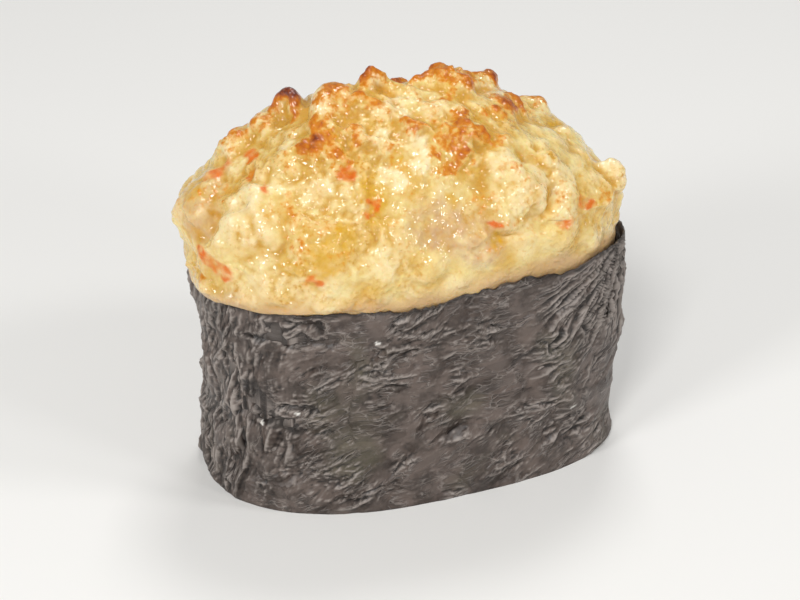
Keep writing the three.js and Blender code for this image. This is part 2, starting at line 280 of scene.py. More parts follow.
def make_piece(name, points, faces, material, marks=None):
    """A smooth mesh object from points in millimetres, with one number or vector at each point for
    every named mark, such as how browned it is."""
    mesh = bpy.data.meshes.new(name)
    mesh.from_pydata((points * MM).tolist(), [], faces.tolist())
    mesh.shade_smooth()
    for mark, values in (marks or {}).items():
        kind, field = ("FLOAT", "value") if values.ndim == 1 else ("FLOAT_VECTOR", "vector")
        attribute = mesh.attributes.new(mark, kind, "POINT")
        attribute.data.foreach_set(field, values.ravel().astype(np.float32))
    mesh.materials.append(material)
    piece = bpy.data.objects.new(name, mesh)
    bpy.context.collection.objects.link(piece)
    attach(piece, "root")
    print(f"{name}: {len(points)} points, {len(faces)} faces")
    return piece


# %% [markdown]
# ## Colours and shader nodes
# Colours are written as the sRGB hex values that a colour picker shows. The shader works in linear
# light, so one function turns them. One more adds a node with its settings and its links. A third
# lays colours over each other like coats of paint, each as dense as its share says.

# %% Colours and shader nodes
def linear(hex_colour):
    """An sRGB hex colour as linear red, green, blue and alpha."""
    channels = [int(hex_colour[i:i + 2], 16) / 255 for i in (1, 3, 5)]
    return [c / 12.92 if c <= 0.04045 else ((c + 0.055) / 1.055) ** 2.4 for c in channels] + [1.0]


def add(tree, kind, sockets=None, **settings):
    """Add one shader node. `settings` are its own options. `sockets` are its inputs by name or
    number: a node is linked by its first output, an output as it is, and all else is a value."""
    made = tree.nodes.new("ShaderNode" + kind)
    for name, value in settings.items():
        setattr(made, name, value)
    for name, value in (sockets or {}).items():
        source = value.outputs[0] if isinstance(value, bpy.types.Node) else value
        if isinstance(source, bpy.types.NodeSocket):
            tree.links.new(source, made.inputs[name])
        else:
            made.inputs[name].default_value = source
    return made


def painted(tree, ground, layers):
    """Coats of colour over a ground: each covers what is below it by its share, from 0 to 1."""
    body = linear(ground)
    for share, colour in layers:
        shade = linear(colour) if isinstance(colour, str) else colour
        body = add(tree, "Mix", {"Factor": share, 6: body, 7: shade}, data_type="RGBA").outputs[2]
    return body


def new_material(name):
    """An empty material and its node tree."""
    material = bpy.data.materials.new(name)
    material.use_nodes = True
    material.node_tree.nodes.clear()
    return material, material.node_tree


def finish_material(tree, sockets):
    """The last two nodes: the Principled shader with these inputs, and the material's output."""
    add(tree, "OutputMaterial", {"Surface": add(tree, "BsdfPrincipled", sockets)})


print("Middle grey in linear light:", linear("#808080"))

# %% [markdown]
# ## The nori
# Nori is seaweed that was chopped, spread on a frame and dried like paper, so it is a felt of dark
# fibres. Wrapped round moist rice it softens and crumples: on the long front the crinkles run along
# the band, at the left end it gathers in upright folds, and at the right end creases fan out from the
# corner where the strip was pulled tight. A picture of nori could be laid on a smooth band, but a
# real relief also catches the light from every side. The large folds come first, as in the solid.

# %% The large folds
FLAP_EDGE = 62
FLAP_LENGTH = 70


def crumple(angle, height):
    """The large folds: two slow waves, gathers and a waist at the left end, the soft corner and its
    dent at the front left, and the shoulder where the right end was pressed in."""
    x = HALF_LENGTH * np.cos(angle)
    y = HALF_LENGTH * np.sin(angle)
    folds = 0.15 * np.sin(0.5 * x + 0.35 * y + 1.6 * np.sin(0.3 * height))
    folds += 0.13 * np.sin(0.75 * height + 2.2 * np.sin(0.22 * x - 0.3 * y)) - 0.1
    pinched = bell(angle, 180, 34) * 0.22 * (np.sin(1.05 * y + 0.12 * height) - 1)
    corner = 0.35 * bell(angle, 208, 9) - 0.5 * bell(angle, 201, 7) * bump(height, 14, 5)
    shoulder = bell(angle, 0, 40) * 0.35 * (2 * smooth(height, 11, 14) - 1)
    waist = -0.8 * bell(angle, 180, 40) * bump(height, 14, 12)
    return folds + pinched + corner + shoulder + waist


def overlap(angle):
    """One more thickness where the end of the strip lies over its start, from FLAP_EDGE on."""
    past = (np.degrees(angle) - FLAP_EDGE) % 360
    return NORI * (1 - smooth(past, 0.6 * FLAP_LENGTH, FLAP_LENGTH))


print("The waist at the left end is", crumple(math.pi, 14.0).round(2), "mm deep")

# %% [markdown]
# ### Creases with a direction
# Crumpled paper is flat between sharp creases, so the fine relief is made of facets. Facets laid
# straight on the band would have no direction. They are laid on other coordinates instead: the
# unrolled strip, turned and divided by a facet's usual length and width, or, for the fan, distance
# and direction from the corner where the creases meet.

# %% Creases with a direction
WAYS = {
    "lying": {"tilt": 4, "length": 3.2, "width": 1.8},
    "leaning": {"tilt": 30, "length": 3.2, "width": 1.6},
    "upright": {"tilt": 78, "length": 4.4, "width": 2.0},
}
FAN_AT = 338
FAN_HEIGHT = 32.5
FAN_REACH = (12, 19)
FAN_SPOKES = 15


def along_strip(angle):
    """How far round the strip a point is, in mm from the strip's outer end."""
    start = np.interp(math.radians(FLAP_EDGE), turn_once, walked)
    return (np.interp(angle % TURN, turn_once, walked) - start) % walked[-1]


def one_way(along, height, way):
    """The unrolled strip's coordinates turned by the way's tilt in degrees, then divided by the
    usual length and width of its facets in mm."""
    c, s = math.cos(math.radians(way["tilt"])), math.sin(math.radians(way["tilt"]))
    lengthwise = (along * c + height * s) / way["length"]
    return np.stack([lengthwise, (height * c - along * s) / way["width"], 0 * along], axis=-1)


def fan(along, height):
    """Polar coordinates about a point near the rim's right end: the logarithm of the distance, and
    the direction times the number of creases in a radian. Also returns how much the fan covers."""
    sideways = along - along_strip(np.array([math.radians(FAN_AT)]))
    down = FAN_HEIGHT - height
    distance = np.hypot(sideways, down)
    direction = np.arctan2(down, sideways)
    cover = smooth(distance, 0.3, 2) * (1 - smooth(distance, *FAN_REACH)) * bell(direction, 115, 75)
    return np.stack([np.log1p(distance) * 1.3, direction * FAN_SPOKES, 0 * along], axis=-1), cover


def crumpled(way, seed, octaves=3):
    """Facets in those coordinates, on a lattice bent by slow swells, so that no two are alike."""
    bent = warped(way, 1.1, 0.34, seed)
    return facets(bent[:, 0], bent[:, 1], seed + 5, octaves)


print(f"The fan's centre is {along_strip(math.radians(FAN_AT)):.0f} mm along the strip")

# %% [markdown]
# ### Dents and starch
# A few dents are too large and too much this strip's own to be left to noise. Each is a line between
# two points, given by their angle in degrees and their height, with a width and a depth. Specks of
# dried starch from the rice stick to the sheet in the same way.

# %% Dents and starch
DENTS = [
    ("fold under the front left rim", (202, 26.1), (210, 26.9), 1.2, 0.6),
    ("its falling part", (210, 26.9), (215, 25.7), 1.3, 0.6),
    ("its rising end", (215, 25.7), (226, 27.0), 1.3, 0.55),
    ("crease above it", (208.5, 28), (221, 28.4), 0.9, 0.45),
    ("hollow behind the corner", (200.5, 17.8), (204.5, 15.8), 2.4, 0.7),
    ("lower corner dent", (203, 13.9), (213, 13.4), 1.5, 0.6),
    ("crease out of the corner", (207, 15.8), (219, 16.4), 1.0, 0.5),
    ("upper hole of the fan", (323, 22.0), (324, 19.8), 1.0, 0.6),
    ("lower hole of the fan", (314, 21.4), (311, 19.8), 0.9, 0.5),
    ("end of the fan", (305, 20.2), (299, 18.2), 0.8, 0.3),
]
STARCH = [
    ((239.0, 25.6), (240.4, 25.6), 0.3),
    ((204.0, 13.3), (204.6, 13.1), 0.32),
    ((214.4, 15.7), (214.8, 15.5), 0.3),
    ((319.6, 9.4), (320.8, 9.4), 0.26),
]


def near_line(along, height, first, last, width):
    """1 on the line between two points of the unrolled strip, falling to 0 at `width` from it."""
    ends = [(along_strip(np.array([math.radians(at)]))[0], up) for at, up in (first, last)]
    start, line = np.array(ends[0]), np.array(ends[1]) - ends[0]
    away = np.stack([along, height], axis=-1) - start
    share = np.clip(away @ line / (line @ line), 0, 1)
    distance = np.linalg.norm(away - share[:, None] * line, axis=1)
    return 1 - smooth(distance, 0, width)


def dents(along, height):
    """The depth of the named dents, with their outlines made ragged by moving the points first."""
    slow = np.stack([along, height, 0 * along], axis=-1)
    x, y, _ = warped(warped(slow, 1.8, 0.9, 101), 0.7, 0.4, 105).T
    return sum(depth * near_line(x, y, first, last, width) for _, first, last, width, depth in DENTS)


print(len(DENTS), "dents and", len(STARCH), "specks of starch")

# %% [markdown]
# ### All the crinkles
# Now the ways are blended. Slow swells decide where creases lie or lean and where they are lively.
# The shader will draw hairlines finer than the mesh can carry, so the mesh also takes along which
# way its creases run, and how steady that is: in between two ways the hairlines would be torn.


# %% All the crinkles
def crinkles(angle, height):
    """Relief in mm: creases of two directions take turns along the front, upright ones take over at
    the left end and the fan at the right end, and the dents are cut out of them. Also the marks."""
    along = along_strip(angle)
    slow = np.stack([along, height, 0 * along], axis=-1)
    leaning = smooth(swells(slow, 7.0, 21), -0.1, 0.3)
    lively = smooth(swells(slow, 3.5, 22), -0.3, 0.5)
    left = smooth(1.6 * bell(angle + 0.2 * swells(slow, 6.0, 23, octaves=2), 176, 50))
    lying_way, leaning_way, upright_way = (one_way(along, height, way) for way in WAYS.values())
    fan_way, right = fan(along, height)
    lying = crumpled(lying_way, 31)
    relief = (0.2 + 0.26 * lively) * (lying + leaning * (crumpled(leaning_way, 41) - lying))
    for share, creases in ((left, 0.7 * crumpled(upright_way, 61)), (right, crumpled(fan_way, 71, 4))):
        relief = relief + share * (creases - relief)
    way = lying_way
    for share, other in ((leaning, leaning_way), (left, upright_way), (right, fan_way)):
        way = np.where(share[:, None] > 0.5, other, way)
    changes = [bump(share, 0.5, 0.4) for share in (left, right, leaning)]
    dent = dents(along, height)
    starch = sum(near_line(along, height, *speck) for speck in STARCH)
    return relief - 0.8 * dent, {
        "way": way,
        "lively": 0.55 + 0.45 * np.maximum(lively, np.maximum(left, right)),
        "steady": 1 - np.max(changes, axis=0),
        # painted shade in the dents
        "shade": smooth(dent, 0.04, 0.35),
        "starch": smooth(starch, 0.2, 0.6),
    }


print("Relief at one point:", crinkles(np.array([4.7]), np.array([12.0]))[0])

# %% [markdown]
# ### The band's mesh
# The sheet is one closed surface: rows of points go up the outside, over the rim and down the
# inside. Its edge is drawn thinner than the sheet, which makes the rim look torn and not sawn.

# %% The band's mesh
BAND_COLUMNS = 750
OUTER_ROWS = 125
INNER_ROWS = 6
EDGE_THICKNESS = 0.22
SHEET_THICKNESS = 0.55
RAGGED_RIM = 0.45


def band_points():
    """Each row's height is a share of the rim's height at its angle. The radius is the plan's,
    flared towards the rim, plus the folds and crinkles on the outside or less the sheet inside."""
    angle = np.linspace(0, TURN, BAND_COLUMNS, endpoint=False)
    shares = np.concatenate([np.linspace(0, 1, OUTER_ROWS), np.linspace(1, 0, INNER_ROWS)])
    inside = np.arange(len(shares)) >= OUTER_ROWS
    share, turn = np.meshgrid(shares, angle, indexing="ij")
    share, turn = share.ravel(), turn.ravel()
    inner = np.repeat(inside, BAND_COLUMNS)
    edge_walk = np.stack([20 * np.cos(turn), 20 * np.sin(turn), 0 * turn], axis=-1)
    height = share * (rim_height(turn) + RAGGED_RIM * swells(edge_walk, 1.1, 5, octaves=2))
    settle = smooth(height, 0, 2) * (1 - 0.6 * smooth(height, STRIP_WIDTH - 6, STRIP_WIDTH))
    relief, marks = crinkles(turn, height)
    relief = relief * smooth(share, -0.02, 0.04)
    thickness = np.where(share > 0.98, EDGE_THICKNESS, SHEET_THICKNESS)
    radius = plan_radius(turn) * (1 + FLARE * height / STRIP_WIDTH) + crumple(turn, height) * settle
    radius = radius + np.where(inner, -thickness, relief + overlap(turn))
    # painted shade along the top edge of the rim, where the topping meets it
    marks["shade"] = np.maximum(marks["shade"], smooth(share, 0.985, 0.995))
    return np.stack([radius * np.cos(turn), radius * np.sin(turn), height], axis=-1), relief, marks


nori_points, nori_relief, nori_marks = band_points()
nori_faces = hoop_faces(OUTER_ROWS + INNER_ROWS, BAND_COLUMNS)
print("Relief runs from", nori_relief.min().round(2), "to", nori_relief.max().round(2), "mm")

# %% [markdown]
# ### Its finish
# Moist nori is almost black with a satin skin, brown and olive where the felt is thin. Its ridges
# are painted paler, a painted highlight, and its hollows darker, a painted shade: both marks are
# measured on the relief, by comparing each point with the mean of its neighbours.

# %% Ridges and hollows of the nori
def local_mean(values, reach):
    """The mean over a square of the band's grid, `reach` rows and columns to each side."""
    grid = values.reshape(-1, BAND_COLUMNS)
    for axis in (0, 1):
        grid = sum(np.roll(grid, step, axis) for step in range(-reach, reach + 1)) / (2 * reach + 1)
    return grid.ravel()


nori_proud = nori_relief - local_mean(nori_relief, 1)
lively, shade = nori_marks["lively"], nori_marks["shade"]
# Painted highlight on the ridges, painted shade in the hollows, the dents and along the rim
nori_marks["ridge"] = smooth(nori_proud, 0.008, 0.06) * lively * (1 - 0.5 * shade)
nori_marks["hollow"] = np.maximum(0.9 * smooth(-nori_proud, 0.008, 0.06) * lively, 0.7 * shade)
print("Proud of their surroundings:", np.percentile(nori_proud, [5, 50, 95]).round(3), "mm")

# %% [markdown]
# The hairlines are the edges of Voronoi cells, laid on the mark "way", so that they follow the
# creases. Noise bends and breaks them, and the mark "steady" leaves them out where two ways meet.
# Each cell's own random colour tilts its normal a little, so that flat bits of the sheet catch the
# light one by one. A way's unit is one facet, about 3 mm long and 2 mm wide.

# %% Hairline creases
HAIRLINES = ((1.0, 0.07), (2.1, 0.12))


def hairline_creases(tree, place):
    """How much of a hairline each point is, and the normal of the cell between the hairlines."""
    way = add(tree, "Attribute", attribute_name="way").outputs["Vector"]
    steady = add(tree, "Attribute", attribute_name="steady").outputs["Fac"]
    stretched = add(tree, "VectorMath", {0: way, 1: (0.6, 1.25, 1.0)}, operation="MULTIPLY")
    bending = add(tree, "TexNoise", {"Vector": way, "Scale": 1.3, "Detail": 2.0})
    bent = add(tree, "VectorMath", {
        0: bending.outputs["Color"], 1: (0.9, 0.9, 0.0), 2: stretched}, operation="MULTIPLY_ADD")
    hairline = 0.0
    for size, width in HAIRLINES:
        edge = add(tree, "TexVoronoi", {"Vector": bent, "Scale": size},
                   feature="DISTANCE_TO_EDGE", voronoi_dimensions="2D")
        line = add(tree, "MapRange", {
            "Value": edge, "From Min": 0.0, "From Max": width, "To Min": 1.0, "To Max": 0.0})
        hairline = add(tree, "Math", {0: line, 1: hairline}, operation="MAXIMUM")
    breaks = add(tree, "TexNoise", {"Vector": place, "Scale": 480.0, "Detail": 1.0})
    broken = add(tree, "MapRange", {"Value": breaks, "From Min": 0.44, "From Max": 0.58})
    for part in (broken, steady):
        hairline = add(tree, "Math", {0: hairline, 1: part}, operation="MULTIPLY")
    cell = add(tree, "TexVoronoi", {"Vector": bent, "Scale": 1.0}, voronoi_dimensions="2D")
    tilt = add(tree, "VectorMath", {
        0: cell.outputs["Color"], 1: (0.9, 0.9, 0.9), 2: (-0.45, -0.45, -0.45)}, operation="MULTIPLY_ADD")
    straight = add(tree, "NewGeometry").outputs["Normal"]
    tilted = add(tree, "VectorMath", {0: tilt, 1: straight}, operation="ADD")
    tilted = add(tree, "VectorMath", {0: tilted}, operation="NORMALIZE")
    return hairline, tilted


# %% Toasted nori
STAIN_SCALE = 330.0  # stains of about 3 mm
FIBRE_SCALE = 1400.0  # fibres of about 0.7 mm, as coarse as they need to be to show
OLIVE_SCALE = 110.0  # thin places of about 9 mm


def toasted_nori():
    """Felted seaweed: dark brown-black, olive stains, satin skin with a fibre bump."""
    material, tree = new_material("toasted_nori")
    place = add(tree, "TexCoord").outputs["Object"]
    marks = {
        name: add(tree, "Attribute", attribute_name=name).outputs["Fac"]
        for name in ("hollow", "ridge", "starch")}
    stains = add(tree, "TexNoise", {"Vector": place, "Scale": STAIN_SCALE, "Detail": 4.0})
    stained = add(tree, "MapRange", {"Value": stains, "From Min": 0.42, "From Max": 0.58})
    thin = add(tree, "TexNoise", {"Vector": place, "Scale": OLIVE_SCALE, "Detail": 2.0})
    olive = add(tree, "MapRange", {
        "Value": thin, "From Min": 0.56, "From Max": 0.7, "To Max": 0.5})
    fibres = add(tree, "TexNoise", {
        "Vector": place, "Scale": FIBRE_SCALE, "Detail": 5.0, "Roughness": 0.65, "Distortion": 0.6})
    fibrous = add(tree, "MapRange", {
        "Value": fibres, "From Min": 0.45, "From Max": 0.8, "To Max": 0.7})
    hairline, tilted = hairline_creases(tree, place)
    # Painted highlight: the hairlines are painted paler along the creases
    hairline_highlight = add(tree, "Math", {0: hairline, 1: 0.55}, operation="MULTIPLY")
    body = painted(tree, "#62554E", [
        (stained, "#3E332D"),
        (olive, "#57543F"),
        (fibrous, "#6A5D55"),
        (hairline_highlight, "#A69C95"),
        # painted shade in the hollows, the dents and along the rim
        (marks["hollow"], "#0E0A08"),
        # painted highlight on the ridges
        (marks["ridge"], "#9C928B"),
        (marks["starch"], "#F2EEE6"),
    ])
    creased = add(tree, "Bump", {
        "Height": hairline, "Normal": tilted, "Strength": 1.0, "Distance": 0.15 * MM})
    lift = add(tree, "Bump", {
        "Height": fibres, "Normal": creased, "Strength": 0.5, "Distance": 0.1 * MM})
    finish_material(tree, {"Base Color": body, "Normal": lift, "Roughness": 0.42})
    return material


band = make_piece("nori_sheet", nori_points, nori_faces, toasted_nori(), nori_marks)
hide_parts("nori_band")

# %% [markdown]
# ## The rice
# Only the underside of the rice can be seen. Cooked short grains are about 5 mm long, plump and
# slightly bent, and the board has flattened the lowest ones. Blender could scatter a grain with
# particles, but those are lost when the part is exported. Here one grain is an ellipsoid on a small
# grid, and all the copies are made at once by multiplying that one array by an array of turns.

# %% One grain
GRAIN_LENGTH = 5.2
GRAIN_WIDTH = 2.5
GRAIN_BEND = 0.12
GRAIN_SIDES = 10
GRAIN_RINGS = 7


def grain_shape():
    """One grain along X: rings of an ellipsoid whose middle line is bent sideways like a parabola."""
    lengthwise = np.linspace(0, math.pi, GRAIN_RINGS + 2)[1:-1]
    around = np.linspace(0, TURN, GRAIN_SIDES, endpoint=False)
    u, v = np.meshgrid(lengthwise, around, indexing="ij")
    x = -0.5 * GRAIN_LENGTH * np.cos(u)
    bend = GRAIN_BEND * GRAIN_WIDTH * (2 * x / GRAIN_LENGTH) ** 2
    y = 0.5 * GRAIN_WIDTH * np.sin(u) * np.cos(v) - bend
    z = 0.45 * GRAIN_WIDTH * np.sin(u) * np.sin(v)
    body = np.stack([x, y, z], axis=-1).reshape(-1, 3)
    tips = [[side * 0.5 * GRAIN_LENGTH, -GRAIN_BEND * GRAIN_WIDTH, 0] for side in (-1, 1)]
    row, side = np.mgrid[0:GRAIN_RINGS - 1, 0:GRAIN_SIDES]
    a = row * GRAIN_SIDES + side
    b = row * GRAIN_SIDES + (side + 1) % GRAIN_SIDES
    quads = np.stack([a, b, b + GRAIN_SIDES, a + GRAIN_SIDES], axis=-1).reshape(-1, 4)
    strips = np.concatenate([quads[:, [0, 1, 2]], quads[:, [0, 2, 3]]])
    first_cap = fan_over(0, GRAIN_SIDES, len(body))[:, [1, 0, 2]]
    last_cap = fan_over((GRAIN_RINGS - 1) * GRAIN_SIDES, GRAIN_SIDES, len(body) + 1)
    return np.concatenate([body, tips]), np.concatenate([strips, first_cap, last_cap])


print("One grain has", len(grain_shape()[1]), "faces")

# %% [markdown]
# The golden angle spreads the grains evenly over a disc. To spread them over the oval as evenly, the
# direction is that of the same point on an ellipse, and not the angle itself.

# %% All the grains
GRAINS = 150
WALL_ROOM = 4.1  # between the sheet's outer face and the middle of the outermost grains


def rice_points(count, seed):
    """Grains spread by the golden angle over the oval, each turned about the vertical and tipped a
    little. Their undersides are pressed flat on the board, each within a tenth of a millimetre of
    it, so that no two flat faces lie in one plane."""
    shape, faces = grain_shape()
    number = np.arange(count)
    spin = number * GOLDEN_ANGLE
    direction = np.arctan2(HALF_WIDTH * np.sin(spin), HALF_LENGTH * np.cos(spin))
    reach = (plan_radius(direction) - WALL_ROOM) * np.sqrt((number + 0.5) / count)
    dice = np.stack([number, number + 1, number * 3], axis=-1)
    turn = TURN * hashed(dice, seed)
    tip = 0.35 * (hashed(dice, seed + 1) - 0.5)
    lift = 0.78 + 0.3 * hashed(dice, seed + 2)
    c, s, tc, ts = np.cos(turn), np.sin(turn), np.cos(tip), np.sin(tip)
    rows = [[c * tc, -s, c * ts], [s * tc, c, s * ts], [-ts, 0 * ts, tc]]
    turns = np.stack([np.stack(row, axis=-1) for row in rows], axis=-2)
    middles = np.stack([reach * np.cos(direction), reach * np.sin(direction), lift], axis=-1)
    points = np.einsum("gij,pj->gpi", turns, shape) + middles[:, None, :]
    points[..., 2] = np.maximum(points[..., 2], 0.1 * hashed(dice, seed + 3)[:, None])
    all_faces = faces[None] + (number * len(shape))[:, None, None]
    return points.reshape(-1, 3), all_faces.reshape(-1, 3)


grain_points, grain_faces = rice_points(GRAINS, 23)
print("The grains reach up to", grain_points[:, 2].max().round(1), "mm")

# %% [markdown]
# Behind the grains the bed is one mass. It is a web that starts as the underside, turns up the
# sides, and is closed by a flat fan on top, where the topping hides it.

# %% The pressed bed
CORE_RINGS = 40
CORE_HEIGHT = 1.25  # of the bed's underside above the board, between the grains
CORE_TURN = 0.77  # share of the rings that make the underside


def core_points():
    """The underside of the bed, dimpled where grains press together, its sides and its flat top."""
    ring, angle, faces = web(CORE_RINGS)
    share = ring / CORE_RINGS
    height = CORE_HEIGHT + (RICE_HEIGHT - CORE_HEIGHT) * smooth(share, CORE_TURN, 1)
    radius = (plan_radius(angle) - 1.25 - smooth(height, 2, 6)) * np.minimum(share * 1.3, 1)
    bed = np.stack([radius * np.cos(angle), radius * np.sin(angle), height], axis=-1)
    lump, _ = clumps(bed * [1, 1, 0.6], 2.8, 17)
    bed[:, 2] -= 0.5 * lump * (share < CORE_TURN)
    rim = WEB_SECTORS * CORE_RINGS
    cap = fan_over(len(bed) - rim, rim, len(bed))
    return np.concatenate([bed, [bed[-rim:].mean(axis=0)]]), np.concatenate([faces[:, ::-1], cap])


bed_points, bed_faces = core_points()
print("The bed has", len(bed_faces), "triangles")

# %% [markdown]
# ### Its finish
# Cooked rice is a soft translucent starch: light enters a grain and comes out a millimetre away, so it
# needs subsurface scattering, and its sticky skin gives a soft gloss.

# %% Cooked rice
CLOUD_SCALE = 500.0  # cloudy patches of about 2 mm


def cooked_rice():
    """Sticky short-grain rice: warm white, translucent, softly glossy."""
    material, tree = new_material("cooked_rice")
    place = add(tree, "TexCoord").outputs["Object"]
    cloud = add(tree, "TexNoise", {"Vector": place, "Scale": CLOUD_SCALE, "Detail": 3.0})
    lift = add(tree, "Bump", {"Height": cloud, "Strength": 0.4, "Distance": 0.1 * MM})
    finish_material(tree, {
        "Base Color": painted(tree, "#F4EEDD", [(cloud, "#E4DAC2")]), "Normal": lift, "Roughness": 0.38,
        "Subsurface Weight": 0.4, "Subsurface Radius": (1.0, 0.8, 0.6), "Subsurface Scale": 1.0 * MM})
    return material


rice_material = cooked_rice()
grains = make_piece("rice_grains", grain_points, grain_faces, rice_material)
core = make_piece("rice_core", bed_points, bed_faces, rice_material)
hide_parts("rice_bed")
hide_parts("rice_bed")

# %% [markdown]
# ## The topping: from mound to crust
# The topping is a stiff, creamy mass of chopped seafood. It was piled on with a spoon, settled, and
# then set and browned under a flame. Sculpting it by hand would give one good side. Here it is grown
# in steps instead: a smooth mound, crags and lumps pushed out of it, then chunks and grains, each
# smaller than the last. The tallest of the lumps over a point wins, which leaves the valleys that
# real pieces have between them. Each knot of the profile is a share of the plan's radius and a share
# of the heap's height.

# %% The mound
PROFILE = np.array([
    [0.9, -0.45], [0.93, -0.24], [0.985, -0.03], [1.04, 0.14], [1.05, 0.29], [0.95, 0.455],
    [0.79, 0.61], [0.61, 0.76], [0.41, 0.885], [0.21, 0.96], [0, 0.985],
])
LEAN = -0.1
SKEW = -0.1
WAIST = 0.065
WAIST_RISE = 0.27


def profile(place):
    """A Catmull-Rom curve through the knots: between two of them it is a cubic whose slopes come
    from their neighbours. Gives the share of the plan and the share of the heap's height."""
    last = len(PROFILE) - 1
    along = np.clip(place, 0, 1) * last
    index = np.minimum(np.floor(along).astype(int), last - 1)
    t = (along - index)[:, None]
    before, start, end, after = (
        PROFILE[np.clip(index + offset, 0, last)] for offset in (-1, 0, 1, 2))
    out, into = (end - before) / 2, (after - start) / 2
    cubic = (2 * start - 2 * end + out + into) * t**3
    return cubic + (-3 * start + 3 * end - 2 * out - into) * t**2 + out * t + start


def mound(angle, place):
    """The smooth heap: the profile carried round the plan. What reaches beyond the plan is softly
    cut back on the right and stretched on the left, the right side is drawn in at the waist, the
    height falls from left to right, and the crest runs slightly to the front on the right."""
    share, rise = profile(place).T
    leftward = 0.5 * (1 - np.cos(angle))
    beyond = 0.5 * (share - 1 + np.sqrt((share - 1) ** 2 + 0.02**2))
    spread = share - beyond * (0.85 - 1.1 * leftward)
    spread = spread * (1 - WAIST * (1 - leftward) ** 2 * bump(rise, WAIST_RISE, 0.45))
    radius = plan_radius(angle) * spread
    x = radius * np.cos(angle)
    y = radius * np.sin(angle) + SKEW * x * np.maximum(rise, 0)
    z = STRIP_WIDTH + rise * (HEAP + LEAN * x * (rise > 0))
    return np.stack([x, y, z], axis=-1)


def surface_point(angle_degrees, place):
    """The point of the smooth heap at an angle in degrees and a place on the profile."""
    return mound(np.array([math.radians(angle_degrees)]), np.array([place]))[0]


TOPPING_RINGS = 222
LOWEST_PLACE = 0.17
ring, web_angle, web_faces = web(TOPPING_RINGS)
web_place = 1 - (1 - LOWEST_PLACE) * ring / TOPPING_RINGS
smooth_heap = mound(web_angle, web_place)
heap_normals = normals_of(smooth_heap, web_faces)
print(f"The mound has {len(ring)} points and {len(web_faces)} triangles")

# %% [markdown]
# ### Crags and lumps
# The named crags are the ones that give this piece its outline. Each row holds its direction in
# degrees, its place on the profile, its radius and height in millimetres, how browned it is and how
# sharp: blocky below 1, pointed above. The rest are spread by the golden angle, which never lines
# up, with sizes drawn from a repeatable sum.

# %% The named crags
CRAGS = [
    ("left peak", 165, 0.74, 2.3, 3.6, 0.95, 1.5),
    ("left slope", 165, 0.668, 4.2, 1.7, 0.35, 0.8),
    ("left hump", 170, 0.595, 3.4, 2.3, 0.3, 0.8),
    ("left knuckle", 173, 0.545, 3.2, 0.6, 0.1, 0.8),
    ("left bulge", 179.5, 0.445, 4.8, 2.0, 0, 0.8),
    ("left ridge", 174.5, 0.833, 3.6, 2.6, 0.35, 0.8),
    ("middle ridge", 182, 0.881, 3.4, 2.0, 0.45, 0.8),
    ("top nub", 155, 0.92, 2.0, 3.4, 0.65, 0.5),
    ("pale shoulder", 131, 0.956, 3.4, 1.5, 0, 0.8),
    ("small spike", 47.5, 0.935, 1.5, 3.2, 0.1, 1.3),
    ("summit", 26, 0.902, 3.4, 3.4, 0.7, 0.8),
    ("summit top", 33, 0.806, 3.0, 3.4, 0.6, 0.8),
    ("second knob", 26, 0.761, 2.6, 3.2, 0.3, 0.7),
    ("browned mass", 6.5, 0.758, 3.6, 1.7, 0.8, 0.8),
    ("right crag", 16.5, 0.644, 1.8, 2.3, 0.4, 1.1),
    ("right shoulder", 359.5, 0.59, 3.0, 0.9, 0.1, 1.0),
    ("right tip", 346, 0.49, 2.7, 2.4, 0.1, 1.8),
    ("browned knob", 196.5, 0.764, 2.6, 1.9, 0.6, 0.9),
    ("browned patch", 203, 0.722, 2.6, 0.9, 0.6, 0.8),
    ("browned ridge", 193.5, 0.812, 2.6, 1.5, 0.5, 0.9),
    ("shiny lump", 185, 0.809, 2.2, 1.7, 0, 0.7),
    ("rimmed lump", 221, 0.779, 3.0, 1.7, 0.2, 0.6),
    ("pale crag", 259.5, 0.821, 2.8, 1.9, 0.45, 0.8),
    ("front knob", 304, 0.776, 3.6, 2.4, 0.7, 0.9),
    ("front knob's foot", 297, 0.737, 2.8, 1.6, 0.55, 0.9),
    ("front slab", 309.5, 0.602, 5.2, 1.9, 0, 0.4),
    ("front swell", 220, 0.45, 6.0, 1.1, 0, 0.9),
    ("left mass", 198.5, 0.512, 5.0, 1.2, 0, 0.7),
    ("back knob", 84, 0.72, 3.6, 2.0, 0.9, 0.9),
    ("back slab", 62, 0.5, 4.6, 1.6, 0.3, 0.6),
]
print(len(CRAGS), "named crags, the tallest of", max(row[4] for row in CRAGS), "mm")

# %% Domes over the mound
SCATTERED_LUMPS = 110


def chance(seed):
    """A repeatable number from 0 to 1: the fraction of a large multiple of a sine."""
    spread = np.sin(seed * 127.1 + 11.7) * 43758.5453
    return spread - np.floor(spread)


def scattered_lumps():
    """Smaller lumps by the golden angle, in rows like those of the named crags."""
    return [
        ("lump", math.degrees(i * GOLDEN_ANGLE), 0.3 + 0.66 * (i + 0.5) / SCATTERED_LUMPS,
         1.9 + 1.9 * chance(i + 1), 0.4 + 0.9 * chance(i + 301), 0.45 * chance(i + 601) ** 2, 0.9)
        for i in range(SCATTERED_LUMPS)
    ]


def shifted(points):
    """Points moved by slow waves, so that the lumps' outlines are uneven."""
    x, y, z = points.T
    return points + np.stack([
        0.7 * np.sin(0.8 * y + 0.5 * z),
        0.7 * np.sin(0.9 * x + 0.6 * z + 2),
        0.5 * np.sin(0.7 * x - 0.8 * y + 4),
    ], axis=-1)


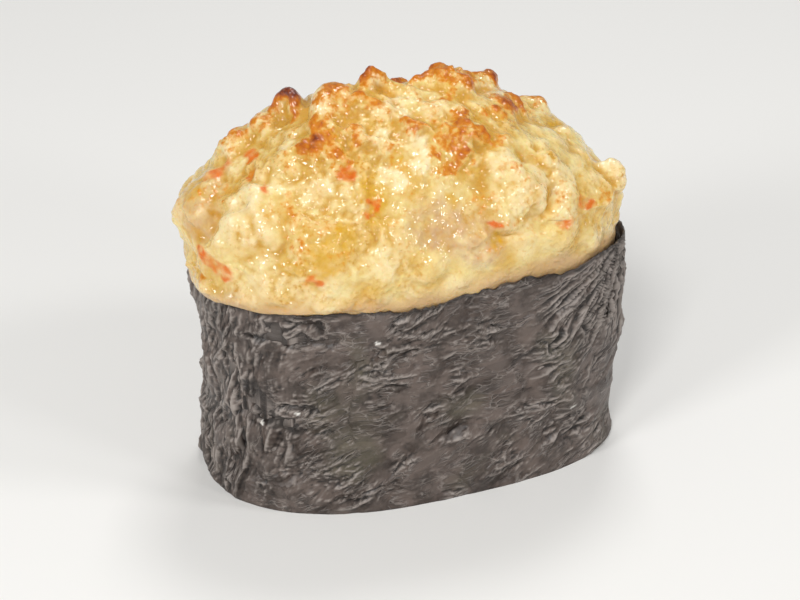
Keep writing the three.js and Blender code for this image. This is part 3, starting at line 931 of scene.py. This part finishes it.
def lumps_over(points, lumps):
    """The height of the tallest dome over each point and how browned the domes over it are. A dome is
    1 - d squared to the power of its sharpness. Its browning reaches 1.6 times as far. The domes'
    outlines are made ragged by moving the points first."""
    here = shifted(warped(points, 1.8, 0.8, 191))
    tallest = np.zeros(len(points))
    browned = np.zeros(len(points))
    for _, at, place, radius, height, brown, sharp in lumps:
        away = np.linalg.norm(here - shifted(surface_point(at, place)[None]), axis=1) / radius
        tallest = np.maximum(tallest, height * np.maximum(1 - away**2, 0) ** sharp)
        browned = np.maximum(browned, brown * np.maximum(1 - (away / 1.6) ** 2, 0))
    return tallest, browned


def settled(values, faces, rounds):
    """The values smoothed over the surface: each takes the mean of its neighbours, again and again."""
    start = np.concatenate([faces[:, 0], faces[:, 1], faces[:, 2]])
    end = np.concatenate([faces[:, 1], faces[:, 2], faces[:, 0]])
    near = np.bincount(start, minlength=len(values)) + np.bincount(end, minlength=len(values))
    for _ in range(rounds):
        values = (np.bincount(start, values[end], len(values))
                  + np.bincount(end, values[start], len(values))) / near
    return values


crag_height, crag_brown = lumps_over(smooth_heap, CRAGS)
soft_height, soft_brown = lumps_over(smooth_heap, scattered_lumps())
broken, _ = clumps(warped(smooth_heap, 1.5, 0.5, 195), 1.9, 197)
crag_height = settled(crag_height * (1 + 0.45 * broken), web_faces, 3)
soft_height = settled(soft_height, web_faces, 30)
lump_height = settled(np.maximum(crag_height, soft_height), web_faces, 3)
lump_brown = np.maximum(crag_brown, soft_brown)
over_rim = smooth_heap[:, 2] - rim_height(web_angle)
above_rim = smooth(over_rim - 0.8 * swells(smooth_heap, 3.0, 199), -0.4, 2.0) * smooth(over_rim, -0.3, 0.5)
print("Lumps stand up to", lump_height.max().round(1), "mm proud")

# %% [markdown]
# ### Valleys
# Three edges of this heap are too clear to be left to the gaps between domes: the rim of a slab on
# the front right, the fold below it and the ledge of the left bulge. Each is a chain of points on
# the smooth heap, with the width and depth of the groove that is carved along it.

# %% Valleys
VALLEYS = [
    ("edge of the front slab", 1.5, 1.0,
     [(320, 0.656), (321, 0.611), (319, 0.566), (312, 0.525), (308, 0.499)]),
    ("top of the low fold", 1.2, 0.6, [(283, 0.424), (297, 0.454), (305, 0.469), (315, 0.465)]),
    ("ledge of the left bulge", 1.5, 0.8, [(190, 0.435), (191, 0.495), (197, 0.536)]),
]


def spot(points, start, end, width):
    """1 along the line between two points, falling to 0 at `width` from it."""
    line = end - start
    along = np.clip((points - start) @ line / (line @ line), 0, 1)
    away = np.linalg.norm(points - start - along[:, None] * line, axis=1)
    return 1 - smooth(away, 0.45 * width, width)


def valley_depth(points):
    """How deep the named valleys are at each point. Moving the points first makes the sides ragged."""
    here = warped(points, 1.6, 0.5, 231)
    depth = np.zeros(len(points))
    for _, width, deepest, stops in VALLEYS:
        ends = [surface_point(*stop) for stop in stops]
        for start, end in zip(ends, ends[1:]):
            depth = np.maximum(depth, deepest * spot(here, start, end, width))
    return depth


carved = settled(valley_depth(smooth_heap), web_faces, 2)
print("The valleys are up to", carved.max().round(2), "mm deep")

# %% [markdown]
# ### The slumped lip
# On the left and at the back the soft sauce ran over the rim before it set, and hangs there in a
# scalloped lip. The lip is a step outwards at its edge's height that fades away above it. After it,
# the lumps and valleys are pushed out along the mound's own normals.

# %% The slumped lip
SLUMPS = [(203, 46), (75, 30), (118, 20)]
LIP = 1.2
LIP_FADE = (31, 35)
CRUST_SETTLE = 0.7


def slump(angle, height):
    """How far the surface moves outwards: nothing below the scalloped edge, the lip's full reach
    just above it, and back to nothing 5 mm over the rim."""
    reach = np.max([np.minimum(1, 1.7 * bell(angle, at, width)) for at, width in SLUMPS], axis=0)
    drawn_up = 0.6 * bell(angle, 224, 14) - 0.9 * bell(angle, 184, 22)
    edge = STRIP_WIDTH + 0.4 + drawn_up - 0.2 * np.sin(23 * angle)
    return LIP * reach * smooth(height, edge - 0.3, edge + 0.3) * (1 - smooth(height, *LIP_FADE))


outward = np.stack([np.cos(web_angle), np.sin(web_angle), 0 * web_angle], axis=-1)
lumpy = smooth_heap + outward * slump(web_angle, smooth_heap[:, 2])[:, None]
settle = CRUST_SETTLE * smooth(smooth_heap[:, 2], STRIP_WIDTH + 1, STRIP_WIDTH + 9)
crust = above_rim * (lump_height - settle - carved)
lumpy += heap_normals * crust[:, None]
lumpy_normals = normals_of(lumpy, web_faces)
print("The crust stands up to", crust.max().round(1), "mm out of the mound")

# %% [markdown]
# ### Chunks and grains
# The finer steps follow the lumpy surface's own normals, so that grains stick out sideways from a
# crag's flank too. They are clumps of three sizes and flakes of cream that set with sharp edges. The
# left is the most granular, and the folds low on the front right are smooth sauce.

# %% Chunks and grains
FLAKE = 2.2


def flaky(points, normals, size, seed):
    """Facets `size` mm wide over the heap: seen from above where it faces up, unrolled where it
    stands, and blended in between."""
    bent = warped(points, 1.5 * size, 0.5 * size, seed)
    x, y, z = bent.T / size
    level = smooth(normals[:, 2], 0.25, 0.6)
    around = web_angle * 22 / size
    return level * facets(x, y, seed) + (1 - level) * facets(around, z, seed + 9)


fold = swells(warped(lumpy, 7.0, 2.0, 101), 7.0, 111)
chunk, chunk_own = clumps(warped(lumpy, 2.5, 0.8, 121), 3.0, 131)
crumb, crumb_own = clumps(warped(lumpy, 1.3, 0.4, 141), 1.5, 151)
grain, grain_own = clumps(warped(lumpy, 0.7, 0.2, 161), 0.75, 171)
flake = flaky(lumpy, lumpy_normals, FLAKE, 311)
sauce = bell(web_angle, 290, 60) * (1 - smooth(web_place, 0.4, 0.52))
craggy = smooth(lumpy[:, 2], 36, 47)
gritty_side = bell(web_angle, 205, 60) * bump(web_place, 0.5, 0.35)
rough = 0.4 + 1.6 * swells(lumpy, 5, 181, octaves=2) + 0.6 * lump_brown + 0.4 * gritty_side
rough = np.clip(rough, 0.12, 1) * (1 - 0.75 * sauce)
relief = 0.7 * fold + (0.5 + 0.4 * craggy) * (1 - 0.3 * sauce) * chunk
relief += 0.4 * (0.4 + 0.6 * rough) * (1 - 0.7 * sauce) * flake
relief += (0.28 + 0.3 * craggy) * rough * crumb + 0.32 * rough * grain
relief *= above_rim
heap_points = lumpy + lumpy_normals * relief[:, None]
print("The fine relief runs from", relief.min().round(2), "to", relief.max().round(2), "mm")

# %% [markdown]
# ### Flecks
# Colour on this crust is not random either. Orange flecks of crab, yolk-yellow spots, rosy sauce,
# pale patches and pools of oil lie where they lie. The pale patches are pale bits of seafood and
# painted highlights on glassy spots. For each mark, a row gives the two ends of a line, each as an
# angle and a place on the profile, its width in mm and how strong it is. The marks are numbers on
# the mesh, so the material can turn them to colour and break up their edges.

# %% The flecks
FLECKS = {
    "coral": [
        (220.5, 0.673, 223.5, 0.667, 1.1, 1.2), (237, 0.6, 236, 0.562, 0.8, 1.1),
        (178, 0.57, 178.5, 0.54, 1.2, 0.8), (180, 0.636, 182.5, 0.632, 1.0, 1.0),
        (189, 0.61, 189.5, 0.6, 0.8, 0.9), (198, 0.594, 201, 0.59, 0.7, 0.8),
        (190, 0.363, 198, 0.335, 1.3, 0.85), (221, 0.375, 223, 0.366, 0.9, 0.7),
        (326.5, 0.495, 329, 0.488, 1.2, 0.8), (315.5, 0.453, 318.5, 0.447, 0.8, 0.9),
        (291.5, 0.505, 292.5, 0.5, 0.8, 0.9), (334, 0.836, 334, 0.826, 0.7, 1.0),
    ],
    "yolk": [
        (235, 0.635, 238, 0.555, 2.0, 0.7), (227, 0.46, 226, 0.435, 2.6, 0.6),
        (228, 0.51, 229, 0.495, 1.6, 0.7), (245, 0.73, 245.5, 0.722, 1.2, 0.9),
        (214, 0.412, 216, 0.405, 1.5, 0.7), (276, 0.6, 276.5, 0.592, 1.1, 0.6),
        (291, 0.45, 291, 0.436, 1.1, 0.8), (178, 0.515, 180, 0.49, 1.6, 0.5),
    ],
    "blush": [(264, 0.521, 285, 0.458, 4.0, 0.7), (180, 0.5, 186, 0.46, 4.0, 0.6)],
    # pale bits of seafood and painted highlights on glassy spots
    "pale": [
        (180, 0.936, 244, 0.884, 1.6, 1.1), (20, 0.794, 10, 0.791, 1.5, 1.1),
        (176, 0.809, 189, 0.809, 1.3, 1.0), (262, 0.761, 261, 0.69, 1.3, 1.0),
        (240, 0.678, 247, 0.649, 1.4, 1.0), (190, 0.708, 191, 0.7, 1.3, 1.0),
    ],
    "wet": [
        (292, 0.544, 290, 0.53, 2.0, 1.4), (272, 0.387, 278, 0.443, 2.0, 1.4),
        (264, 0.622, 266, 0.6, 2.4, 1.4), (318, 0.622, 317, 0.6, 2.4, 1.4),
        (218, 0.477, 214, 0.357, 2.4, 1.4), (205, 0.664, 222, 0.611, 3.0, 1.4),
        (215, 0.574, 221, 0.566, 2.4, 1.4),
    ],
}
HIDDEN_FLECKS = 16


def hidden_fleck(i):
    """A fleck for the back, where no one of them is known. They are spread by the golden angle."""
    at = 5 + (i * 137.5) % 150
    place = 0.32 + 0.4 * chance(i + 901)
    width, amount = 0.8 + 0.6 * chance(i + 951), 0.4 + 0.5 * chance(i + 931)
    return "coral" if i % 3 else "yolk", (at, place, at + 3, place - 0.02, width, amount)


gritty = swells(heap_points, 0.8, 175, octaves=2)
edges = warped(warped(heap_points, 1.0, 0.5, 161), 0.45, 0.25, 165) - heap_normals * crust[:, None]
marks = {name: np.zeros(len(heap_points)) for name in FLECKS}
flecks = [(name, row) for name, rows in FLECKS.items() for row in rows]
for name, row in flecks + [hidden_fleck(i) for i in range(HIDDEN_FLECKS)]:
    cover = spot(edges, surface_point(*row[:2]), surface_point(*row[2:4]), 1.1 * row[4])
    marks[name] = np.clip(row[5] * (0.9 + 0.9 * gritty) * cover, marks[name], 1)
print({name: f"{(values > 0.3).mean():.1%}" for name, values in marks.items()})

# %% [markdown]
# ### Browning
# The flame browns what stands closest to it: the tops of the crags, and the grains on them first. So
# each point is compared with its wider and its nearer surroundings. What is proud is browned, or
# painted pale as a painted highlight, and what is sunk is painted darker and deeper in colour: painted
# shade, which also stands for thicker sauce. Close to the rim the heat never came, and the sauce
# stayed dull and rosy.

# %% Browning
stand = above_rim * lump_height + relief
proud = stand - settled(stand, web_faces, 50)
finely_proud = stand - settled(stand, web_faces, 8)
upward = smooth(normals_of(heap_points, web_faces)[:, 2], -0.2, 0.7)
high = smooth(heap_points[:, 2], 37, 50)
patchy = 0.5 + 0.5 * swells(heap_points, 2.2, 171, octaves=3)
exposed = lump_brown * (0.1 + 1.1 * patchy) * (0.5 + 0.5 * upward) + 0.3 * high * (patchy - 0.3)
browned = 0.74 * exposed * (1 + 1.2 * finely_proud) + 0.25 * high * proud - 0.08
browned += 0.3 * gritty * smooth(exposed, 0, 0.3)
marks["browned"] = np.clip(browned, 0, 1) * (1 - 0.75 * marks["pale"])
# painted shade in the hollows, which also stands for thicker sauce
marks["hollow"] = np.clip(-0.5 * proud - 4.5 * finely_proud - 0.1, 0, 0.9) * above_rim
marks["grainy"] = rough * smooth(crumb_own + 0.5 * grain_own, 0.55, 1.15) * above_rim
pale_chunks = settled(smooth(chunk_own + 0.35 * swells(heap_points, 3.0, 201), 0.6, 0.9), web_faces, 20)
# pale chunks are the cream's own colour; proud grains get a painted highlight
pale = np.clip(0.5 * pale_chunks + 3.0 * finely_proud, 0, 0.9)
marks["pale"] = np.maximum(marks["pale"], pale) * above_rim
moist = smooth(swells(heap_points, 4.0, 211, octaves=2), -0.35, 0.25)
low = 1 - smooth(heap_points[:, 2] - rim_height(web_angle) + 1.5 * swells(heap_points, 3.0, 221), 0.3, 3.5)
marks["blush"] = np.maximum(marks["blush"], 0.9 * low)
marks["wet"] = np.maximum(marks["wet"], 0.55 + 0.45 * moist) * (1 - 0.5 * low)
print({name: f"{(values > 0.3).mean():.1%}" for name, values in marks.items()})

# %% [markdown]
# ### Its finish
# A set cream sauce scatters light for about a millimetre, which fills its own hollows and keeps the
# shading soft. Its colours are laid over each other, from plain cream to the flecks. The browning is
# a ramp from straw through amber to a red-brown, and fine noise makes its edge ragged.

# %% Colours of the crust
BROWNING = ((0.0, "#E8B54A"), (0.25, "#DB901C"), (0.55, "#C26C08"), (0.8, "#A24E06"), (1.0, "#6C2A10"))
CREAM_SCALE = 260.0  # clouds in the sauce of about 4 mm


def crust_colours(tree, place, speck, marks):
    """Cream and straw in clouds, golden grains, and the marks over them. `speck` is the fine noise."""
    cloud = add(tree, "TexNoise", {
        "Vector": place, "Scale": CREAM_SCALE, "Detail": 5.0, "Roughness": 0.6})
    clouded = add(tree, "MapRange", {"Value": cloud, "From Min": 0.38, "From Max": 0.62})
    grains = add(tree, "Math", {0: marks["grainy"], 1: 0.5}, operation="MULTIPLY")
    specked = add(tree, "MapRange", {"Value": speck, "From Min": 0.52, "From Max": 0.66})
    golden = add(tree, "Math", {0: specked, 1: marks["grainy"]}, operation="MULTIPLY")
    ragged = add(tree, "Math", {0: speck, 1: 0.5}, operation="SUBTRACT")
    ragged = add(tree, "Math", {
        0: ragged, 1: 0.7, 2: marks["browned"]}, operation="MULTIPLY_ADD")
    toast = add(tree, "ValToRGB", {"Fac": ragged})
    while len(toast.color_ramp.elements) < len(BROWNING):
        toast.color_ramp.elements.new(0.5)
    for element, (position, colour) in zip(toast.color_ramp.elements, BROWNING):
        element.position = position
        element.color = linear(colour)
    toasted = add(tree, "MapRange", {"Value": ragged, "From Min": 0.06, "From Max": 0.36})
    flesh = add(tree, "Math", {0: marks["coral"], 1: 0.9}, operation="MULTIPLY")
    return painted(tree, "#EED894", [
        (clouded, "#DBB45F"),
        # pale seafood, and painted highlights on proud grains and glassy spots
        (marks["pale"], "#F8E6B8"),
        (grains, "#DDAA38"),
        (golden, "#C08E1E"),
        (marks["blush"], "#D0AA7C"),
        # painted shade in the hollows, and thicker sauce
        (marks["hollow"], "#D09A34"),
        (marks["yolk"], "#D8A626"),
        (toasted, toast),
        (flesh, "#DC6600"),
    ])


print("The browning ramp has", len(BROWNING), "colours")

# %% [markdown]
# Oil and steam leave a wet film on the crust. It is the shader's clear coat, smooth over a duller
# body, so the body's own specular is set low. A flat film would make milky patches of shine. The
# real film breaks over grains finer than the mesh, so small Voronoi flakes tilt the coat's normal,
# each by its own random colour, and every grain catches its own spark.

# %% The wet film
FLAKE_SCALE = 3600.0  # flakes of about 0.3 mm
SMOOTHEST_TILT = 0.4
GRAINY_TILT = 0.7


def wet_film(tree, place, marks):
    """The coat's normal, tilted more where the crust is grainy, and its weight: the mark "wet", and
    almost none on the orange flecks, which the film would make pink."""
    flakes = add(tree, "TexVoronoi", {"Vector": place, "Scale": FLAKE_SCALE})
    centred = add(tree, "VectorMath", {
        0: flakes.outputs["Color"], 1: (0.5, 0.5, 0.5)}, operation="SUBTRACT")
    steepness = add(tree, "Math", {
        0: marks["grainy"], 1: GRAINY_TILT, 2: SMOOTHEST_TILT}, operation="MULTIPLY_ADD")
    tilt = add(tree, "VectorMath", {0: centred, "Scale": steepness}, operation="SCALE")
    straight = add(tree, "NewGeometry").outputs["Normal"]
    film = add(tree, "VectorMath", {0: tilt, 1: straight}, operation="ADD")
    film = add(tree, "VectorMath", {0: film}, operation="NORMALIZE")
    bare = add(tree, "Math", {0: marks["coral"], 1: -0.9, 2: 1.0}, operation="MULTIPLY_ADD")
    wet = add(tree, "Math", {0: marks["wet"], 1: bare}, operation="MULTIPLY")
    return film, wet


# %% Baked cream topping
SPECK_SCALE = 1800.0  # specks of about 0.5 mm


def baked_cream():
    """Cream sauce set by heat: subsurface cream and straw, browned crags, a wet clear film."""
    material, tree = new_material("baked_cream")
    place = add(tree, "TexCoord").outputs["Object"]
    marks = {
        name: add(tree, "Attribute", attribute_name=name).outputs["Fac"]
        for name in ("pale", "grainy", "blush", "hollow", "yolk", "browned", "coral", "wet")}
    speck = add(tree, "TexNoise", {"Vector": place, "Scale": SPECK_SCALE, "Detail": 3.0})
    lift = add(tree, "Bump", {"Height": speck, "Strength": 0.9, "Distance": 0.25 * MM})
    film, wet = wet_film(tree, place, marks)
    finish_material(tree, {
        "Base Color": crust_colours(tree, place, speck, marks), "Normal": lift, "Roughness": 0.38,
        "Specular IOR Level": 0.15, "Subsurface Weight": 0.45, "Subsurface Radius": (1.0, 0.6, 0.25),
        "Subsurface Scale": 1.1 * MM, "Coat Normal": film, "Coat Weight": wet, "Coat Roughness": 0.05})
    return material


rim_count = WEB_SECTORS * TOPPING_RINGS
bottom = np.append(heap_points[-rim_count:].mean(axis=0)[:2], STRIP_WIDTH - 4)
closing = fan_over(len(heap_points) - rim_count, rim_count, len(heap_points))[:, [1, 0, 2]]
topping = make_piece(
    "topping_crust", np.concatenate([heap_points, [bottom]]), np.concatenate([web_faces, closing]),
    baked_cream(), {name: np.append(values, 0.0) for name, values in marks.items()})
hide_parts("baked_topping")

# %% [markdown]
# ## Floor, light and camera
# A pale floor and five soft lamps are a small food studio: a key and a soft one from the front left,
# a fill and a side lamp from the front right, and one overhead towards the back. Small lamps close by
# give the film its sparks, where one large lamp would only make a haze. The Standard view transform
# keeps the pale cream from turning grey. The camera stands at a three-quarter angle, high enough to
# see over the rim.


# %% Floor
def pale_floor():
    """A matt off-white board, 3 m square."""
    material, tree = new_material("pale_board")
    finish_material(tree, {"Base Color": linear("#EEEDEA"), "Roughness": 0.9})
    half = 1.5
    corners = [(-half, -half, 0), (half, -half, 0), (half, half, 0), (-half, half, 0)]
    mesh = bpy.data.meshes.new("floor")
    mesh.from_pydata(corners, [], [(0, 1, 2, 3)])
    mesh.materials.append(material)
    floor = bpy.data.objects.new("floor", mesh)
    bpy.context.collection.objects.link(floor)
    return floor


print("Floor:", pale_floor().name)

# %% Lamps
LAMPS = [
    ("key", (-0.20, -0.30, 0.44), 0.11, 1.05),
    ("soft", (-0.42, -0.18, 0.28), 0.12, 0.85),
    ("fill", (0.32, -0.42, 0.24), 0.1, 0.5),
    ("side", (0.34, -0.23, 0.37), 0.09, 0.5),
    ("top", (0.1, 0.2, 0.5), 0.14, 0.8),
]
AIM = (0.0, 0.0, 0.025)


def aimed(obj, place, target):
    """Put an object at `place` and turn its -Z axis to `target`."""
    obj.location = place
    obj.rotation_euler = (Vector(target) - Vector(place)).to_track_quat("-Z", "Y").to_euler()


for name, place, size, power in LAMPS:
    light = bpy.data.lights.new(name, "AREA")
    light.size = size
    light.energy = power
    lamp = bpy.data.objects.new(name, light)
    bpy.context.collection.objects.link(lamp)
    aimed(lamp, place, AIM)

world = bpy.data.worlds.new("studio")
world.use_nodes = True
world.node_tree.nodes["Background"].inputs["Color"].default_value = linear("#FFFFFF")
world.node_tree.nodes["Background"].inputs["Strength"].default_value = 0.25
bpy.context.scene.world = world
bpy.context.scene.view_settings.view_transform = "Standard"
print("Lamps give", sum(row[3] for row in LAMPS), "W in all")

# %% Camera
AZIMUTH = math.radians(-19.05)
ELEVATION = math.radians(33.0)
DISTANCE = 292.7
TARGET_ALONG = -0.849
TARGET_HEIGHT = 20.395
LENS = 102.6

target = np.array([TARGET_ALONG * math.cos(AZIMUTH), TARGET_ALONG * math.sin(AZIMUTH), TARGET_HEIGHT])
level = np.array([math.sin(AZIMUTH), -math.cos(AZIMUTH)]) * math.cos(ELEVATION)
back = np.append(level, math.sin(ELEVATION))
camera_data = bpy.data.cameras.new("camera")
camera_data.sensor_width = 36
camera_data.lens = LENS
camera = bpy.data.objects.new("camera", camera_data)
bpy.context.collection.objects.link(camera)
aimed(camera, tuple((target + back * DISTANCE) * MM), tuple(target * MM))
bpy.context.scene.camera = camera
print("Camera at", [round(v, 4) for v in camera.location])
